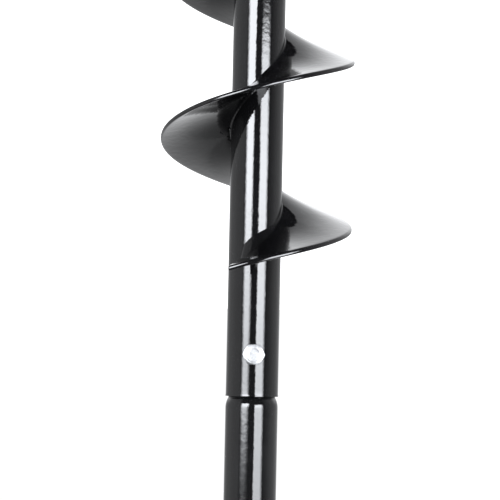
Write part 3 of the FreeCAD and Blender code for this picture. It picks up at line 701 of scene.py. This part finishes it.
def grip_outline():
    """Grip from the middle of its closed end, over ribs and flange, to the end of its bore."""
    ribs, rib_pitch = 17, 6
    groove = ((1.6, 0), (0.65, 1.4), (-0.65, 1.4), (-1.6, 0))
    low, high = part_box("grip_right")
    flange = (high.z - low.z) / 2
    barrel = flange - 4 * MM
    shoulder = low.x + 5 * MM
    outline, radii = [(1 * MM, high.x), (barrel, high.x)], [0, 1.75 * MM]
    for n in reversed(range(ribs)):
        middle = shoulder + (rib_pitch + rib_pitch * n) * MM
        for out, deep in groove:
            outline.append((barrel - deep * MM, middle + out * MM))
            radii.append(0.6 * MM)
    outline += [(barrel, shoulder), (flange, shoulder), (flange, low.x), (CROSSBAR_R, low.x)]
    outline.append((CROSSBAR_R, high.x - 4 * MM))
    radii += [1.2 * MM, 1.3 * MM, 1.3 * MM, 0.4 * MM, 0]
    return rounded(outline, radii, 3)


def grips(rubber):
    """A ribbed rubber sleeve on each end of the crossbar."""
    for name, side in (("grip_right", 1), ("grip_left", -1)):
        mesh = along_crossbar(solid_turned(name + "_sleeve", grip_outline()), side)
        new_piece(name + "_sleeve", mesh, rubber, "grip_rubber", name)


def stem_cap(plastic):
    """Domed plug: dome, brim and skirt, hollow from below."""
    low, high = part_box("stem_cap")
    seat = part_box("handle_stem")[1].z
    skirt, brim = TUBE_R - TUBE_WALL - 0.1 * MM, seat + 1.2 * MM
    rise = high.z - brim
    ball = (TUBE_R * TUBE_R + rise * rise) / (2 * rise)
    radii = along(0.5 * MM, TUBE_R, 16)
    outline = [(r, high.z - ball + math.sqrt(ball * ball - r * r)) for r in radii]
    outline += [(TUBE_R, seat), (skirt, seat), (skirt, low.z), (skirt - 2 * MM, low.z)]
    outline += [(skirt - 2 * MM, seat), (0.5 * MM, seat)]
    edges = [0] * 15 + [0.5 * MM, 0.3 * MM, 0, 0.3 * MM, 0.3 * MM, 0, 0]
    mesh = solid_turned("stem_cap_plug", rounded(outline, edges, 3))
    new_piece("stem_cap_plug", mesh, plastic, "cap_plastic", "stem_cap")


# ---------------------------------------------------------------- CAD nodes that stay


def dress(name, material, edge):
    """Gives a CAD node its material and rounds its edges."""
    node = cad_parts[name]
    node.data.materials.clear()
    node.data.materials.append(material)
    bevel = node.modifiers.new("worn_edges", "BEVEL")
    bevel.width, bevel.segments = edge, 3
    bevel.limit_method, bevel.angle_limit = "ANGLE", math.radians(30)
    bevel.harden_normals = True


# ---------------------------------------------------------------- studio

LENS = 146
CAMERA_AWAY = 1.572
CAMERA_TURN = math.radians(-88.2)
CAMERA_BELOW_RIM = 40.2 * MM
AIM_BELOW_RIM = 114 * MM
AIM_ASIDE = 3.7 * MM
LEAN = math.radians(1.19)


def placed(name, data, spot, right, top, back):
    """Puts a camera or a light at a spot; it faces away from back."""
    made = bpy.data.objects.new(name, data)
    facing = Matrix((right, top, back)).transposed().to_4x4()
    made.matrix_world = Matrix.Translation(spot) @ facing
    bpy.context.scene.collection.objects.link(made)
    return made


def camera():
    """Long lens level with the joint, rolled so that the point is up, as the tool is shown."""
    towards = polar(1, CAMERA_TURN, 0)
    aside = Vector((-towards.y, towards.x, 0)) * AIM_ASIDE
    spot = towards * CAMERA_AWAY + aside + Vector((0, 0, RIM - CAMERA_BELOW_RIM))
    aim = aside + Vector((0, 0, RIM - AIM_BELOW_RIM))
    look = (aim - spot).normalized()
    upward = (-UP - look * (-UP).dot(look)).normalized()
    right = look.cross(upward)
    top = upward * math.cos(LEAN) - right * math.sin(LEAN)
    side = right * math.cos(LEAN) + upward * math.sin(LEAN)
    lens = bpy.data.cameras.new("camera")
    lens.lens = LENS
    bpy.context.scene.camera = placed("camera", lens, spot, side, top, -look)


def softbox(name, turn, away, width, inward, softness, stops):
    """Upright softbox that faces the tool; stops are (height, radiance) from foot to top.

    Its outer side fades over a third of the width. The side next to the camera fades over a
    share of the width that goes from the first softness at its foot to the second at its top;
    inward is 1 or -1 and says which side that is.
    """
    top, peak = stops[-1][0], max(radiance for height, radiance in stops)
    light = bpy.data.lights.new(name, "AREA")
    light.shape = "RECTANGLE"
    light.size, light.size_y = width, top
    light.energy = peak * math.pi * width * top
    light.color = (0.93, 0.955, 1)
    light.use_nodes = True
    lamp = Nodes(light.node_tree)
    cell = lamp.add("ShaderNodeNewGeometry", {}, {}, "Parametric")
    side, rise = lamp.part(cell, "X"), lamp.part(cell, "Y")
    shares = [(height / top, radiance / peak) for height, radiance in stops]
    level = lamp.add("ShaderNodeValToRGB", {"stops": shares}, {"Fac": rise})
    outer, inner = (1 - side, side) if inward > 0 else (side, 1 - side)
    fade = softness[0] + rise * (softness[1] - softness[0])
    edges = lamp.ramp(outer, 0, 0.34) * lamp.ramp(inner, 0, fade)
    glow = lamp.add("ShaderNodeEmission", {}, {"Color": level, "Strength": edges})
    lamp.add("ShaderNodeOutputLight", {}, {"Surface": glow})
    outward = polar(1, turn, 0)
    spot = polar(away, turn, top / 2)
    placed(name, light, spot, UP.cross(outward), UP, outward).visible_camera = False


def softboxes():
    """One softbox on each side of the camera; the right one ends lower than the left one."""
    right, left = CAMERA_TURN + math.radians(30.5), CAMERA_TURN - math.radians(32.6)
    fading = [(0, 24), (0.34, 24), (0.47, 18), (0.62, 14), (0.655, 13), (0.69, 6)]
    fading += [(0.72, 3.5), (0.79, 0.8)]
    softbox("softbox_right", right, 1.3, 0.97, 1, (0.06, 0.54), fading)
    footless = [(0.03, 0), (0.075, 7), (0.12, 19), (0.3, 23), (0.5, 19), (0.62, 16)]
    footless += [(0.8, 13), (1.3, 5)]
    softbox("softbox_left", left, 1.5, 1.21, -1, (0.22, 0.03), footless)


def floor():
    """Pale floor that runs out to white; painted light: it glows from 0.45 near the tool up to
    1.3 from 1.8 m out.
    """
    steps = 96
    radii = [0.02, 0.3, 0.8, 1.6, 3, 6, 12, 30]
    points = [point for radius in radii for point in loop(radius, 0, steps)]
    faces = [tuple(range(steps))]
    for row in range(len(radii) - 1):
        this, outer = row * steps, (row + 1) * steps
        for n in range(steps):
            after = (n + 1) % steps
            faces.append((this + n, outer + n, outer + after, this + after))
    mesh = mesh_from("studio_floor", points, faces)
    paper = Finish("pale_paper_painted_glow")
    length = {"operation": "LENGTH"}
    distance = paper.add("ShaderNodeVectorMath", length, {0: paper.place()}, "Value")
    # painted light: the floor glows from 0.45 near the tool, rising between 0.5 m and 1.8 m out
    # to 1.3, so it reads white
    glow = 0.45 + paper.ramp(distance, 0.5, 1.8) * 0.85
    fibre = paper.noise(300, 3, 0.6)
    colour = paper.mix(fibre, (0.86, 0.86, 0.86), (0.9, 0.9, 0.9))
    diffuse = paper.add("ShaderNodeBsdfDiffuse", {}, {"Color": colour})
    light = paper.add("ShaderNodeEmission", {}, {"Strength": glow})
    both = paper.add("ShaderNodeAddShader", {}, {0: diffuse, 1: light})
    paper.add("ShaderNodeOutputMaterial", {}, {"Surface": both})
    mesh.materials.append(paper.material)
    made = bpy.data.objects.new("studio_floor", mesh)
    bpy.context.scene.collection.objects.link(made)
    made.visible_glossy = False


def surroundings():
    """White to the eye; to the gloss, a bright sweep behind and beside the tool, dark in front.

    bearing is 1 straight behind the tool and -1 at the camera. aside is below 0 on the right
    softbox's side and above 0 on the left one's. height is 1 straight up.
    """
    world = bpy.data.worlds.new("studio")
    world.use_nodes = True
    bpy.context.scene.world = world
    room = Nodes(world.node_tree)
    way = room.add("ShaderNodeTexCoord", {}, {}, "Generated")
    behind = -polar(1, CAMERA_TURN, 0)
    facing = room.dot(way, behind)
    height = room.part(way, "Z")
    spread = (1 - height * height) ** 0.5 + 0.001
    bearing = facing / spread
    aside = room.dot(way, UP.cross(behind))
    walls = 0.66 - aside / spread * 0.06 + room.ramp(bearing, 0.965, 0.995) * 0.5
    walls = walls - room.ramp(bearing, 0.2, 0.6) * room.ramp(0 - aside, 0.3, 0.6) * 0.2
    sweep = room.ramp(0 - height, 0.1, 0.35) * room.ramp(bearing, 0.3, 0.9) * 0.9
    ceiling = room.ramp(height, 0.1, 0.4) * room.ramp(bearing, 0.2, 0.8) * 0.5
    flag = (1 - room.ramp(bearing, -0.55, 0.2)) * room.ramp(aside, 0, 0.3) * 0.42
    front = room.ramp(bearing + room.ramp(0 - aside, 0.3, 0.6) * 0.11, -0.6, -0.42)
    level = front * (walls + sweep + ceiling - flag) + 0.12
    overhead = room.ramp(height, 0.5, 0.92) * 0.62
    underfoot = room.ramp(0 - height, 0.38, 0.87) * (0.62 - room.ramp(aside, -0.02, 0.2) * 0.3)
    level = level * (1 - overhead) * (1 - underfoot)
    shade = room.add("ShaderNodeBackground", {}, {"Color": (0.97, 0.98, 1), "Strength": level})
    white = room.add("ShaderNodeBackground", {}, {"Color": (1, 1, 1), "Strength": 1.05})
    seen = room.add("ShaderNodeLightPath", {}, {}, "Is Camera Ray")
    both = room.add("ShaderNodeMixShader", {}, {0: seen, 1: shade, 2: white})
    room.add("ShaderNodeOutputWorld", {}, {"Surface": both})


def studio():
    floor()
    surroundings()
    softboxes()
    bpy.context.scene.view_settings.view_transform = "Standard"
    camera()


# ---------------------------------------------------------------- build


def main():
    coat = black_powder_coat()
    zinc = bright_zinc()
    blade_steel = ground_steel()
    flights(coat)
    weld_spatter(coat)
    auger_tube(coat)
    handle_stem(coat)
    crossbar(coat)
    grips(grip_rubber())
    stem_cap(cap_plastic())
    for name in ("blade_seat_main", "blade_seat_lead", "seat_welds", "crossbar_welds"):
        dress(name, coat, 0.4 * MM)
    joint_bolt(zinc)
    for name in ("joint_washer", "joint_nut", "blade_bolts", "blade_washers", "blade_nuts"):
        dress(name, zinc, 0.25 * MM)
    for name in ("cutting_blade_main", "cutting_blade_lead"):
        dress(name, blade_steel, 0.2 * MM)
    dress("pilot_point", worn_point(), 0.5 * MM)
    dress("pilot_pin", spring_steel(), 0.15 * MM)
    dress("joint_nut_ring", blue_nylon(), 0.1 * MM)
    studio()


main()
